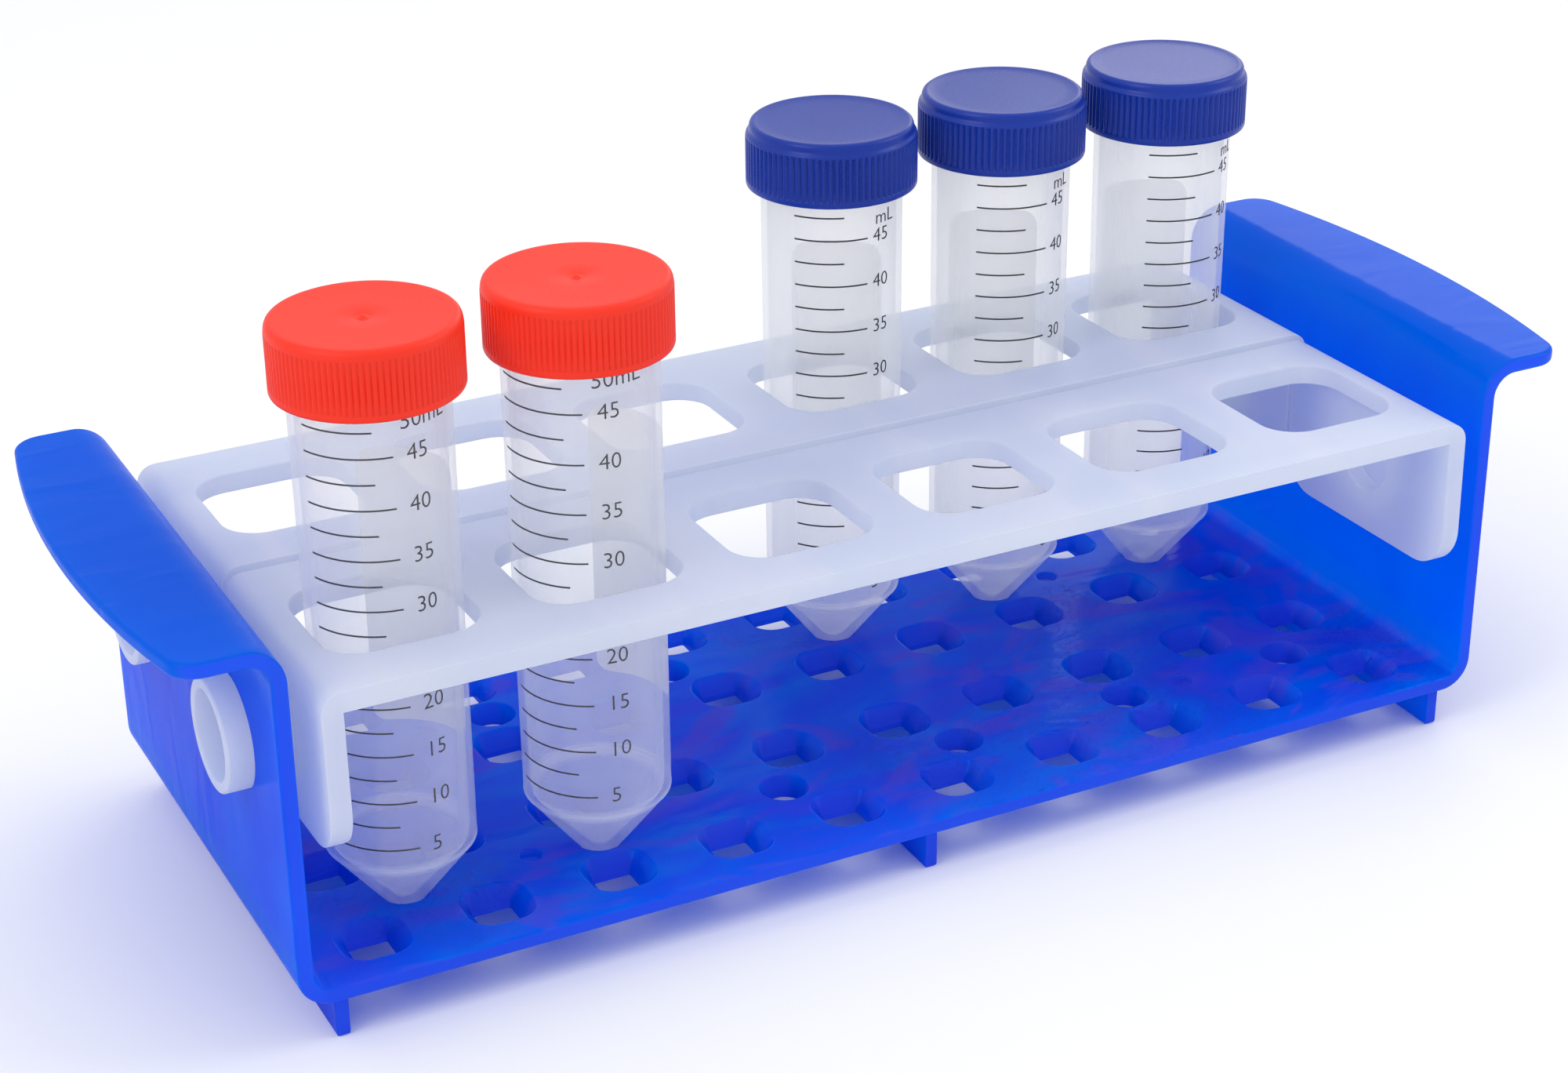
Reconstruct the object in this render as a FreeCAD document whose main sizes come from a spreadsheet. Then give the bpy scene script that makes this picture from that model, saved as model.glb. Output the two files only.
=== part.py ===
import FreeCAD, Part
import os

import Sketcher

# A bench rack for 50 ml and 15 ml centrifuge tubes: one moulded frame with handles, two tray
# halves that rock on hollow trunnions in the frame's end walls, and five capped tubes.
# +X runs along the rack, +Y to its rear, +Z up. The origin is under the middle of the frame,
# on the plane that its three foot ribs stand on. Everything is in millimetres.

DIMENSIONS = [
    # frame
    ("sheet_thickness", 3.0),
    ("frame_length", 257.0),
    ("frame_depth", 105.2),
    ("foot_height", 8.2),
    ("foot_thickness", 2.6),
    ("foot_spacing", 120.6),
    ("foot_edge_radius", 0.8),
    ("handle_top", 81.0),
    ("handle_reach", 150.0),
    ("handle_bow", 6.0),
    ("handle_corner_radius", 6.0),
    ("bend_inner_radius", 3.5),
    ("handle_bend_radius", 4.5),
    ("rim_radius", 0.9),
    # seats in the floor
    ("seat_depth", 4.5),
    ("seat_rim", 14.2),
    ("seat_rim_radius", 5.4),
    ("seat_taper", 35.0),
    ("cup_wall", 1.2),
    ("small_pitch", 24.5),
    ("small_columns", 10),
    ("small_row_inner", 14.0),
    ("small_row_outer", 39.7),
    ("large_pitch", 39.7),
    ("large_columns", 6),
    ("large_row", 27.2),
    ("tip_seat_rim", 10.5),
    ("tip_seat_taper", 20.0),
    ("dimple_spacing", 73.8),
    ("dimple_width", 4.5),
    ("dimple_depth", 1.0),
    # trays
    ("tray_length", 241.6),
    ("tray_depth", 53.6),
    ("tray_thickness", 4.1),
    ("tray_rise", 16.9),
    ("tray_drop", 16.0),
    ("tray_corner_radius", 3.0),
    ("tab_corner_radius", 9.0),
    ("tube_hole", 29.6),
    ("tube_hole_radius", 7.5),
    ("trunnion_height", 53.0),
    ("trunnion_width", 21.3),
    ("trunnion_bore", 17.0),
    ("trunnion_clearance", 0.1),
    ("trunnion_proud", 4.7),
    ("tab_bore", 14.4),
    ("tray_tilt", 1.0),
    # tubes and caps
    ("tube_tip_height", 9.2),
    ("tube_length", 114.7),
    ("tube_mouth_radius", 14.35),
    ("tube_foot_radius", 14.0),
    ("tube_wall", 1.2),
    ("tip_radius", 3.25),
    ("cone_height", 13.6),
    ("tip_floor", 1.6),
    ("thread_height", 0.8),
    ("thread_pitch", 2.5),
    ("thread_flank", 0.75),
    ("thread_crest", 0.5),
    ("cap_height", 13.0),
    ("cap_top_height", 117.0),
    ("cap_top_thickness", 1.9),
    ("cap_bore_radius", 15.5),
    ("red_cap_radius", 17.15),
    ("blue_cap_radius", 17.35),
    ("cap_edge_radius", 1.4),
    ("cap_band_height", 2.5),
    ("cap_rib_depth", 0.35),
]

# Which seats hold a tube: name, colour of cap, column and row (front is -1, rear is +1).
TUBES = [
    ("front_tube_1", "red", 0, -1),
    ("front_tube_2", "red", 1, -1),
    ("rear_tube_4", "blue", 3, 1),
    ("rear_tube_5", "blue", 4, 1),
    ("rear_tube_6", "blue", 5, 1),
]

TOLERANCE = 0.05


def make_sheet(doc):
    """Put the driving dimensions in a spreadsheet and return it."""
    sheet = doc.addObject("Spreadsheet::Sheet", "dims")
    for row, (alias, value) in enumerate(DIMENSIONS, start=1):
        sheet.set(f"A{row}", alias)
        sheet.set(f"B{row}", str(value))
        sheet.setAlias(f"B{row}", alias)
    doc.recompute()
    return sheet


def origin_feature(body, role):
    """One of the body's own origin planes or axes."""
    return next(item for item in body.Origin.OriginFeatures if item.Role == role)


def new_body(doc, label):
    body = doc.addObject("PartDesign::Body", label)
    body.Label = label
    return body


def new_sketch(body, name, plane, height=None):
    """A sketch on one of the body's origin planes, lifted along its normal by an expression."""
    sketch = body.newObject("Sketcher::SketchObject", name)
    sketch.AttachmentSupport = [(origin_feature(body, plane), "")]
    sketch.MapMode = "FlatFace"
    if height:
        sketch.setExpression(".AttachmentOffset.Base.z", height)
    return sketch


def number(sketch, expression):
    """The present value of a sheet expression."""
    return float(sketch.evalExpression(expression))


def bind(sketch, kind, places, expression):
    """Add a dimension between places and let it follow a sheet expression."""
    index = sketch.addConstraint(Sketcher.Constraint(kind, *places, number(sketch, expression)))
    sketch.setExpression(f"Constraints[{index}]", expression)


def locate(sketch, line, end, x, y):
    """Fix one end of a line at an expression for each coordinate; 0 means on the axis."""
    if x == "0":
        sketch.addConstraint(Sketcher.Constraint("PointOnObject", line, end, -2))
    else:
        bind(sketch, "DistanceX", (-1, 1, line, end), x)
    if y == "0":
        sketch.addConstraint(Sketcher.Constraint("PointOnObject", line, end, -1))
    else:
        bind(sketch, "DistanceY", (-1, 1, line, end), y)


def polygon(sketch, corners):
    """Closed outline through corners given as pairs of expressions."""
    points = [FreeCAD.Vector(number(sketch, x), number(sketch, y), 0) for x, y in corners]
    count = len(points)
    first = sketch.GeometryCount
    for step in range(count):
        sketch.addGeometry(Part.LineSegment(points[step], points[(step + 1) % count]), False)
    for step in range(count):
        joined = (first + step, 2, first + (step + 1) % count, 1)
        sketch.addConstraint(Sketcher.Constraint("Coincident", *joined))
    for step, (x, y) in enumerate(corners):
        locate(sketch, first + step, 1, x, y)


def circle(sketch, x, y, width):
    """A circle of the given diameter."""
    centre = FreeCAD.Vector(number(sketch, x), number(sketch, y), 0)
    radius = number(sketch, width) / 2
    round_edge = Part.Circle(centre, FreeCAD.Vector(0, 0, 1), radius)
    index = sketch.addGeometry(round_edge, False)
    locate(sketch, index, 3, x, y)
    bind(sketch, "Diameter", (index,), width)


def rounded_square(sketch, x, y, side, radius):
    """A square of the given side with round corners, centred on x and y."""
    cx, cy = number(sketch, x), number(sketch, y)
    half, r = number(sketch, side) / 2, number(sketch, radius)
    first = sketch.GeometryCount
    turn = FreeCAD.Rotation(FreeCAD.Vector(0, 0, 1), 90)
    centre = FreeCAD.Vector(cx, cy, 0)
    start, stop = FreeCAD.Vector(r - half, -half, 0), FreeCAD.Vector(half - r, -half, 0)
    bulge = FreeCAD.Vector(half - r, r - half, 0) + FreeCAD.Vector(1, -1, 0) * (r / 2**0.5)
    corner = FreeCAD.Vector(half, r - half, 0)
    for _ in range(4):
        sketch.addGeometry(Part.LineSegment(centre + start, centre + stop), False)
        sketch.addGeometry(Part.Arc(centre + stop, centre + bulge, centre + corner), False)
        start, stop, bulge, corner = (turn.multVec(p) for p in (start, stop, bulge, corner))
    bottom, right, top, left = (first + 2 * step for step in range(4))
    for step in range(4):
        line = first + 2 * step
        following = first + (2 * step + 2) % 8
        sketch.addConstraint(Sketcher.Constraint("Tangent", line, 2, line + 1, 1))
        sketch.addConstraint(Sketcher.Constraint("Tangent", line + 1, 2, following, 1))
    for line in (bottom, top):
        sketch.addConstraint(Sketcher.Constraint("Horizontal", line))
    for line in (left, right):
        sketch.addConstraint(Sketcher.Constraint("Vertical", line))
    for arc in (right + 1, top + 1, left + 1):
        sketch.addConstraint(Sketcher.Constraint("Equal", bottom + 1, arc))
    bind(sketch, "Radius", (bottom + 1,), radius)
    bind(sketch, "DistanceX", (left, 1, right, 1), side)
    bind(sketch, "DistanceY", (bottom, 1, top, 1), side)
    bind(sketch, "DistanceX", (-1, 1, left, 1), f"{x} - {side} / 2")
    bind(sketch, "DistanceY", (-1, 1, bottom, 1), f"{y} - {side} / 2")


def pad(body, name, profile, length, symmetric=False, reversed_way=False, taper=None):
    feature = body.newObject("PartDesign::Pad", name)
    feature.Profile = profile
    feature.setExpression("Length", length)
    feature.SideType = "Symmetric" if symmetric else "One side"
    feature.Reversed = reversed_way
    if taper:
        feature.setExpression("TaperAngle", taper)
    return feature


def pocket(body, name, profile, depth=None, taper=None):
    """A pocket of the given depth below its sketch, or right through on both sides of it."""
    feature = body.newObject("PartDesign::Pocket", name)
    feature.Profile = profile
    if depth:
        feature.setExpression("Length", depth)
        if taper:
            feature.setExpression("TaperAngle", taper)
    else:
        feature.Type = "ThroughAll"
        feature.SideType = "Symmetric"
    return feature


def row_pattern(body, name, originals, step, count):
    """Repeat features along X."""
    feature = body.newObject("PartDesign::LinearPattern", name)
    feature.Originals = originals
    feature.Direction = (origin_feature(body, "X_Axis"), [""])
    feature.Mode = "Spacing"
    feature.setExpression("Offset", step)
    feature.setExpression("Occurrences", count)
    body.Tip = feature
    return feature


def end_pattern(body, name, originals):
    """Mirror features to the other end of the rack."""
    feature = body.newObject("PartDesign::Mirrored", name)
    feature.Originals = originals
    feature.MirrorPlane = (origin_feature(body, "YZ_Plane"), [""])
    body.Tip = feature
    return feature


def fillet(body, name, base, radius, chosen):
    """Round every edge of the base feature that passes the test."""
    body.Document.recompute()
    names = [f"Edge{i}" for i, edge in enumerate(base.Shape.Edges, start=1) if chosen(edge)]
    feature = body.newObject("PartDesign::Fillet", name)
    feature.Base = (base, names)
    feature.setExpression("Radius", radius)
    return feature


def near(value, target):
    return abs(value - target) < TOLERANCE


def middle(edge):
    return edge.valueAt((edge.FirstParameter + edge.LastParameter) / 2)


def runs_along(edge, axis):
    """Whether an edge is straight and parallel to the named axis."""
    box = edge.BoundBox
    spans = {"x": box.XLength, "y": box.YLength, "z": box.ZLength}
    others = [span for name, span in spans.items() if name != axis]
    return edge.Curve.TypeId == "Part::GeomLine" and max(others) < TOLERANCE


FLOOR_BOTTOM = "dims.foot_height"
FLOOR_TOP = "dims.foot_height + dims.sheet_thickness"
OUTER = "dims.frame_length / 2"
INNER = "dims.frame_length / 2 - dims.sheet_thickness"
HANDLE_UNDER = "dims.handle_top - dims.sheet_thickness"


def add_frame_shell(body, dims):
    """Floor, end walls and handle flanges: one bent sheet with bowed handles."""
    section = new_sketch(body, "shell_section", "XZ_Plane")
    right = [
        (OUTER, FLOOR_BOTTOM),
        (OUTER, HANDLE_UNDER),
        ("dims.handle_reach", HANDLE_UNDER),
        ("dims.handle_reach", "dims.handle_top"),
        (INNER, "dims.handle_top"),
        (INNER, FLOOR_TOP),
    ]
    left = [(f"-({x})", z) for x, z in reversed(right)]
    polygon(section, right + left)
    shell = pad(body, "shell", section, "dims.frame_depth", symmetric=True)

    outer, inner = dims.frame_length / 2, dims.frame_length / 2 - dims.sheet_thickness
    under = dims.handle_top - dims.sheet_thickness

    def bend_at(x, z):
        def chosen(edge):
            point = middle(edge)
            return runs_along(edge, "y") and near(abs(point.x), x) and near(point.z, z)
        return chosen

    outside = "dims.bend_inner_radius + dims.sheet_thickness"
    over = "dims.handle_bend_radius + dims.sheet_thickness"
    floor_top = dims.foot_height + dims.sheet_thickness
    bends = [
        ("outer_bends", outside, bend_at(outer, dims.foot_height)),
        ("inner_bends", "dims.bend_inner_radius", bend_at(inner, floor_top)),
        ("handle_bends", over, bend_at(inner, dims.handle_top)),
        ("handle_roots", "dims.handle_bend_radius", bend_at(outer, under)),
    ]
    for name, radius, chosen in bends:
        shell = fillet(body, name, shell, radius, chosen)
    return bow_handles(body, dims)


def bow_handles(body, dims):
    """Trim the outer edge of both flanges to a shallow arc and round their corners."""
    half_depth = "dims.frame_depth / 2"
    end_reach = "dims.handle_reach - dims.handle_bow"
    bow_radius = f"(({half_depth}) ^ 2 + dims.handle_bow ^ 2) / (2 * dims.handle_bow)"
    beyond = "dims.handle_reach + dims.handle_bow"
    for side, sign in (("right", 1), ("left", -1)):
        outline = new_sketch(body, f"{side}_handle_bow", "XY_Plane")
        reach = dims.handle_reach
        tip = reach - dims.handle_bow
        depth = dims.frame_depth / 2
        front = FreeCAD.Vector(sign * tip, -depth, 0)
        crown = FreeCAD.Vector(sign * reach, 0, 0)
        rear = FreeCAD.Vector(sign * tip, depth, 0)
        far_front = FreeCAD.Vector(sign * (reach + dims.handle_bow), -depth, 0)
        far_rear = FreeCAD.Vector(sign * (reach + dims.handle_bow), depth, 0)
        arc = outline.addGeometry(Part.Arc(front, crown, rear), False)
        outline.addGeometry(Part.LineSegment(rear, far_rear), False)
        outline.addGeometry(Part.LineSegment(far_rear, far_front), False)
        outline.addGeometry(Part.LineSegment(far_front, front), False)
        rear_end, front_end = (2, 1) if sign > 0 else (1, 2)
        outline.addConstraint(Sketcher.Constraint("Coincident", arc, rear_end, arc + 1, 1))
        outline.addConstraint(Sketcher.Constraint("Coincident", arc + 1, 2, arc + 2, 1))
        outline.addConstraint(Sketcher.Constraint("Coincident", arc + 2, 2, arc + 3, 1))
        outline.addConstraint(Sketcher.Constraint("Coincident", arc + 3, 2, arc, front_end))
        bind(outline, "Radius", (arc,), bow_radius)
        way = "" if sign > 0 else "-"
        locate(outline, arc + 1, 1, f"{way}({end_reach})", half_depth)
        locate(outline, arc + 1, 2, f"{way}({beyond})", half_depth)
        locate(outline, arc + 2, 2, f"{way}({beyond})", f"-({half_depth})")
        locate(outline, arc + 3, 2, f"{way}({end_reach})", f"-({half_depth})")
        trim = pocket(body, f"{side}_handle_trim", outline)

    tip = dims.handle_reach - dims.handle_bow
    corners = fillet(body, "handle_corners", trim, "dims.handle_corner_radius",
                     lambda edge: runs_along(edge, "z") and near(abs(middle(edge).x), tip))

    def on_rim(edge):
        point = middle(edge)
        flange = point.z > dims.handle_top - dims.sheet_thickness - TOLERANCE
        beyond_wall = abs(point.x) > dims.frame_length / 2 + dims.handle_bend_radius
        at_end = near(abs(point.y), dims.frame_depth / 2)
        return at_end or (flange and beyond_wall and not runs_along(edge, "z")
                          and not runs_along(edge, "y"))

    return fillet(body, "rims", corners, "dims.rim_radius", on_rim)


def add_feet(body, dims):
    """Three thin ribs under the floor, from front to back."""
    outline = new_sketch(body, "foot_ribs_section", "XZ_Plane")
    for place in ("-dims.foot_spacing -", "-", "dims.foot_spacing -"):
        low = f"{place} dims.foot_thickness / 2"
        high = f"{low} + dims.foot_thickness"
        polygon(outline, [(low, "0"), (high, "0"), (high, FLOOR_TOP), (low, FLOOR_TOP)])
    ribs = pad(body, "foot_ribs", outline, "dims.frame_depth - 2 * dims.rim_radius",
               symmetric=True)
    fillet(body, "foot_edges", ribs, "dims.foot_edge_radius",
           lambda edge: runs_along(edge, "y") and near(middle(edge).z, 0))


def add_seats(body, dims):
    """Funnel seats in the floor, each a tapered well in a short cup below the floor."""
    cup_drop = "dims.seat_depth - dims.sheet_thickness"
    first_small = "-(dims.small_columns - 1) / 2 * dims.small_pitch"
    first_large = "-(dims.large_columns - 1) / 2 * dims.large_pitch"
    square_rows = ["-dims.small_row_outer", "-dims.small_row_inner",
                   "dims.small_row_inner", "dims.small_row_outer"]
    round_rows = ["-dims.large_row", "dims.large_row"]
    narrowing = "2 * dims.sheet_thickness * tan(dims.seat_taper * 1 deg)"
    tip_narrowing = "2 * dims.sheet_thickness * tan(dims.tip_seat_taper * 1 deg)"

    cups = new_sketch(body, "square_cup_outlines", "XY_Plane", FLOOR_BOTTOM)
    wells = new_sketch(body, "square_well_outlines", "XY_Plane", FLOOR_TOP)
    for row in square_rows:
        rounded_square(cups, first_small, row,
                       f"(dims.seat_rim - {narrowing} + 2 * dims.cup_wall)",
                       "dims.seat_rim_radius - dims.cup_wall")
        rounded_square(wells, first_small, row, "dims.seat_rim", "dims.seat_rim_radius")
    square_cups = pad(body, "square_cups", cups, cup_drop, reversed_way=True,
                      taper="-dims.tip_seat_taper")
    square_wells = pocket(body, "square_wells", wells, "dims.seat_depth + dims.cup_wall",
                          taper="-dims.seat_taper")
    row_pattern(body, "square_seats", [square_cups, square_wells],
                "dims.small_pitch", "dims.small_columns")

    tips = new_sketch(body, "tip_cup_outlines", "XY_Plane", FLOOR_BOTTOM)
    tip_wells = new_sketch(body, "tip_well_outlines", "XY_Plane", FLOOR_TOP)
    for row in round_rows:
        circle(tips, first_large, row,
               f"dims.tip_seat_rim - {tip_narrowing} + 2 * dims.cup_wall")
        circle(tip_wells, first_large, row, "dims.tip_seat_rim")
    tip_cups = pad(body, "tip_cups", tips, cup_drop, reversed_way=True,
                   taper="-dims.tip_seat_taper")
    tip_pockets = pocket(body, "tip_wells", tip_wells, "dims.seat_depth + dims.cup_wall",
                         taper="-dims.tip_seat_taper")
    row_pattern(body, "tip_seats", [tip_cups, tip_pockets],
                "dims.large_pitch", "dims.large_columns")


def add_dimples(body):
    """Four small round dimples between the round seats."""
    outline = new_sketch(body, "dimple_outlines", "XY_Plane", FLOOR_TOP)
    for x in ("-dims.dimple_spacing", "dims.dimple_spacing"):
        for y in ("-dims.large_row", "dims.large_row"):
            circle(outline, x, y, "dims.dimple_width")
    pocket(body, "dimples", outline, "dims.dimple_depth")


def build_frame(doc, dims):
    body = new_body(doc, "frame")
    add_frame_shell(body, dims)
    add_feet(body, dims)
    add_seats(body, dims)
    add_dimples(body)
    holes = new_sketch(body, "trunnion_hole_outlines", "YZ_Plane")
    for y in ("-dims.large_row", "dims.large_row"):
        circle(holes, y, "dims.trunnion_height",
               "dims.trunnion_width + 2 * dims.trunnion_clearance")
    pocket(body, "trunnion_holes", holes)
    return body


def build_tray(doc, dims, label, side):
    """Half of the tube guide, drawn about its trunnion axis: a plate with two down-turned tabs."""
    body = new_body(doc, label)
    end, tab = "dims.tray_length / 2", "dims.tray_length / 2 - dims.tray_thickness"
    plate_under = "dims.tray_rise - dims.tray_thickness"
    right = [(end, "-dims.tray_drop"), (end, "dims.tray_rise")]
    left = [(f"-{end}", "dims.tray_rise"), (f"-{end}", "-dims.tray_drop")]
    inside = [(f"-({tab})", "-dims.tray_drop"), (f"-({tab})", plate_under),
              (tab, plate_under), (tab, "-dims.tray_drop")]
    section = new_sketch(body, f"{label}_section", "XZ_Plane")
    polygon(section, right + left + inside)
    shell = pad(body, f"{label}_shell", section, "dims.tray_depth", symmetric=True)

    def top_corner(edge):
        point = middle(edge)
        at_end = near(abs(point.x), dims.tray_length / 2)
        return runs_along(edge, "y") and at_end and near(point.z, dims.tray_rise)

    def tab_corner(edge):
        point = middle(edge)
        at_side = near(abs(point.y), dims.tray_depth / 2)
        return runs_along(edge, "x") and at_side and near(point.z, -dims.tray_drop)

    shell = fillet(body, f"{label}_top_corners", shell, "dims.tray_corner_radius", top_corner)
    fillet(body, f"{label}_tab_corners", shell, "dims.tab_corner_radius", tab_corner)

    hole = new_sketch(body, f"{label}_hole_outline", "XY_Plane", "dims.tray_rise")
    rounded_square(hole, "-(dims.large_columns - 1) / 2 * dims.large_pitch",
                   "0 * dims.large_row", "dims.tube_hole", "dims.tube_hole_radius")
    cut = pocket(body, f"{label}_hole", hole, "dims.tray_thickness + dims.dimple_depth")
    row_pattern(body, f"{label}_holes", [cut], "dims.large_pitch", "dims.large_columns")

    root = "dims.tray_thickness / 2"
    ring = new_sketch(body, f"{label}_trunnion_outline", "YZ_Plane", f"{end} - {root}")
    circle(ring, "0", "0", "dims.trunnion_width")
    circle(ring, "0", "0", "dims.trunnion_bore")
    reach = "(dims.frame_length - dims.tray_length) / 2 + dims.trunnion_proud"
    boss = pad(body, f"{label}_trunnion", ring, f"{reach} + {root}")
    end_pattern(body, f"{label}_trunnions", [boss])
    bore = new_sketch(body, f"{label}_tab_bore_outline", "YZ_Plane")
    circle(bore, "0", "0", "dims.tab_bore")
    pocket(body, f"{label}_tab_bores", bore)

    lean = FreeCAD.Rotation(FreeCAD.Vector(1, 0, 0), -dims.tray_tilt)
    body.Placement = FreeCAD.Placement(FreeCAD.Vector(0, 0, 0), lean)
    body.setExpression(".Placement.Base.y", f"{side} * dims.large_row")
    body.setExpression(".Placement.Base.z", "dims.trunnion_height")
    return body


def revolve(body, name, corners):
    """Turn a closed outline of radius and height about the body's Z axis."""
    outline = new_sketch(body, f"{name}_outline", "XZ_Plane")
    polygon(outline, corners)
    feature = body.newObject("PartDesign::Revolution", name)
    feature.Profile = outline
    feature.ReferenceAxis = (outline, ["V_Axis"])
    feature.Angle = 360
    return feature


def put_in_seat(body, column, row, height):
    """Stand a body over one of the large seats."""
    middle_column = "(dims.large_columns - 1) / 2"
    body.setExpression(".Placement.Base.x", f"({column} - {middle_column}) * dims.large_pitch")
    body.setExpression(".Placement.Base.y", f"{row} * dims.large_row")
    body.setExpression(".Placement.Base.z", height)


def build_tube(doc, label, column, row):
    """A conical tube with a flat tip and a screw thread at its mouth."""
    body = new_body(doc, label)
    mouth, barrel = "dims.tube_mouth_radius", "dims.tube_foot_radius"
    neck = "dims.tube_length - dims.cap_height + dims.cap_band_height"
    crest = f"{mouth} + dims.thread_height"
    pitch, flank, crest_width = "dims.thread_pitch", "dims.thread_flank", "dims.thread_crest"
    outside = [("0", "0"), ("dims.tip_radius", "0"), (barrel, "dims.cone_height"), (mouth, neck)]
    for turn in (1, 2):
        low = f"{neck} + {turn} * {pitch}"
        outside += [(mouth, low), (crest, f"{low} + {flank}"),
                    (crest, f"{low} + {flank} + {crest_width}"),
                    (mouth, f"{low} + 2 * {flank} + {crest_width}")]
    outside.append((mouth, "dims.tube_length"))
    inside = [(f"{mouth} - dims.tube_wall", "dims.tube_length"),
              (f"{barrel} - dims.tube_wall", "dims.cone_height + dims.tube_wall / 2"),
              ("dims.tip_radius - dims.tube_wall", "dims.tip_floor"),
              ("0", "dims.tip_floor")]
    revolve(body, f"{label}_wall", outside + inside)
    put_in_seat(body, column, row, "dims.tube_tip_height")
    return body


def build_cap(doc, dims, label, colour, column, row):
    """A screw cap: a ribbed skirt over a plain band, closed by a flat top."""
    body = new_body(doc, label)
    band = f"dims.{colour}_cap_radius"
    skirt = f"{band} - dims.cap_rib_depth"
    outline = [("dims.cap_bore_radius", "0"), (band, "0"), (band, "dims.cap_band_height"),
               (skirt, "dims.cap_band_height"), (skirt, "dims.cap_height"),
               ("0", "dims.cap_height"),
               ("0", "dims.cap_height - dims.cap_top_thickness"),
               ("dims.cap_bore_radius", "dims.cap_height - dims.cap_top_thickness")]
    shell = revolve(body, f"{label}_shell", outline)
    skirt_radius = getattr(dims, f"{colour}_cap_radius") - dims.cap_rib_depth

    def top_edge(edge):
        at_top = near(middle(edge).z, dims.cap_height)
        is_round = edge.Curve.TypeId == "Part::GeomCircle"
        return at_top and is_round and near(edge.Curve.Radius, skirt_radius)

    fillet(body, f"{label}_edge", shell, "dims.cap_edge_radius", top_edge)
    put_in_seat(body, column, row, "dims.tube_tip_height + dims.cap_top_height - dims.cap_height")
    return body


def check(doc, bodies):
    """Stop unless every object computed and every body is one valid solid."""
    for item in doc.Objects:
        if "Invalid" in item.State or "Error" in item.State:
            raise RuntimeError(f"{item.Label} failed: {item.State}")
    for body in bodies:
        shape = body.Shape
        if shape.isNull() or not shape.isValid() or len(shape.Solids) != 1:
            raise RuntimeError(f"{body.Label} is not one valid solid")
        box = shape.BoundBox
        print(f"{body.Label}: volume {shape.Volume:.0f} mm3, x {box.XMin:.2f} {box.XMax:.2f}, "
              f"y {box.YMin:.2f} {box.YMax:.2f}, z {box.ZMin:.2f} {box.ZMax:.2f}")


def main():
    doc = FreeCAD.newDocument("tube_rack")
    dims = make_sheet(doc)
    bodies = [build_frame(doc, dims)]
    bodies.append(build_tray(doc, dims, "front_tray", -1))
    bodies.append(build_tray(doc, dims, "rear_tray", 1))
    for label, colour, column, row in TUBES:
        bodies.append(build_tube(doc, label, column, row))
        bodies.append(build_cap(doc, dims, f"{label}_cap", colour, column, row))
    doc.recompute()
    check(doc, bodies)
    os.makedirs("parts", exist_ok=True)
    for body in bodies:
        body.Shape.exportStep(f"parts/{body.Label}.step")


main()
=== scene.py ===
import math

import bmesh
import bpy
from mathutils import Matrix, Vector
from mathutils.geometry import delaunay_2d_cdt


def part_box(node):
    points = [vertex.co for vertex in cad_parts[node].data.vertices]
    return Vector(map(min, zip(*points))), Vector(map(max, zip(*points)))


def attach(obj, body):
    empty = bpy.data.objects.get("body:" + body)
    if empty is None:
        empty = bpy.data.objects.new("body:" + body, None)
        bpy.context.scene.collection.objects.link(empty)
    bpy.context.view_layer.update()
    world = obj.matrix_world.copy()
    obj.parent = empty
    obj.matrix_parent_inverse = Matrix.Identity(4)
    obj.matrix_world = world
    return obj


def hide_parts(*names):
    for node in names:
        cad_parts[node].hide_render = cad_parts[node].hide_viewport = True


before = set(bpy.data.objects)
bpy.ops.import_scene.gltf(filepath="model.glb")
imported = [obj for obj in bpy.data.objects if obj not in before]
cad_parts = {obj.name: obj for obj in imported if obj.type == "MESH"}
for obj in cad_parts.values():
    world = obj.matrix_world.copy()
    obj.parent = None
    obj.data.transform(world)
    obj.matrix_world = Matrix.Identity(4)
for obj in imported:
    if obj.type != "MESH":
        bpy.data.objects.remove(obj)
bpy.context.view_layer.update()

# Meshes are worked out in millimetres in the CAD's own frame and written in metres. Materials,
# lights and the camera's lens use Blender's own units.
MM = 0.001

# Sizes in millimetres that the boxes of the CAD nodes don't give. The tubes' tips stand in the
# floor's seats, a little below its top, and the trays' trunnions turn at a fixed height above it.
TIP_DROP = 2.0
FLOOR_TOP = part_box("front_tube_1")[0].z / MM + TIP_DROP
AXIS_HEIGHT = FLOOR_TOP + 41.8

# Frame: one bent sheet with two handles, three foot ribs and seats in its floor.
SHEET = 3.0
FRAME_LENGTH = 257.0
BEND_INNER, HANDLE_BEND = 3.5, 4.5
HANDLE_BOW, HANDLE_CORNER = 6.0, 6.0
RIM = 0.9
FOOT_THICKNESS, FOOT_SPACING, FOOT_INSET, FOOT_CORNER = 2.6, 120.6, 0.6, 0.3
SMALL_COLUMNS, SMALL_PITCH, SMALL_ROWS = 10, 24.5, (-39.7, -14.0, 14.0, 39.7)
SMALL_SEAT_HALF, SMALL_SEAT_CORNER, SMALL_SEAT_SHARPEN = 7.1, 5.4, 1.6
LARGE_COLUMNS, LARGE_PITCH, LARGE_ROW = 6, 39.7, 27.2
ROUND_SEAT_RADIUS, SEAT_LAND = 5.25, 1.5
DIMPLE_RADIUS, DIMPLE_DEPTH, DIMPLE_AT = 2.25, 1.0, 73.8
TRUNNION_CLEARANCE = 0.1

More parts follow.
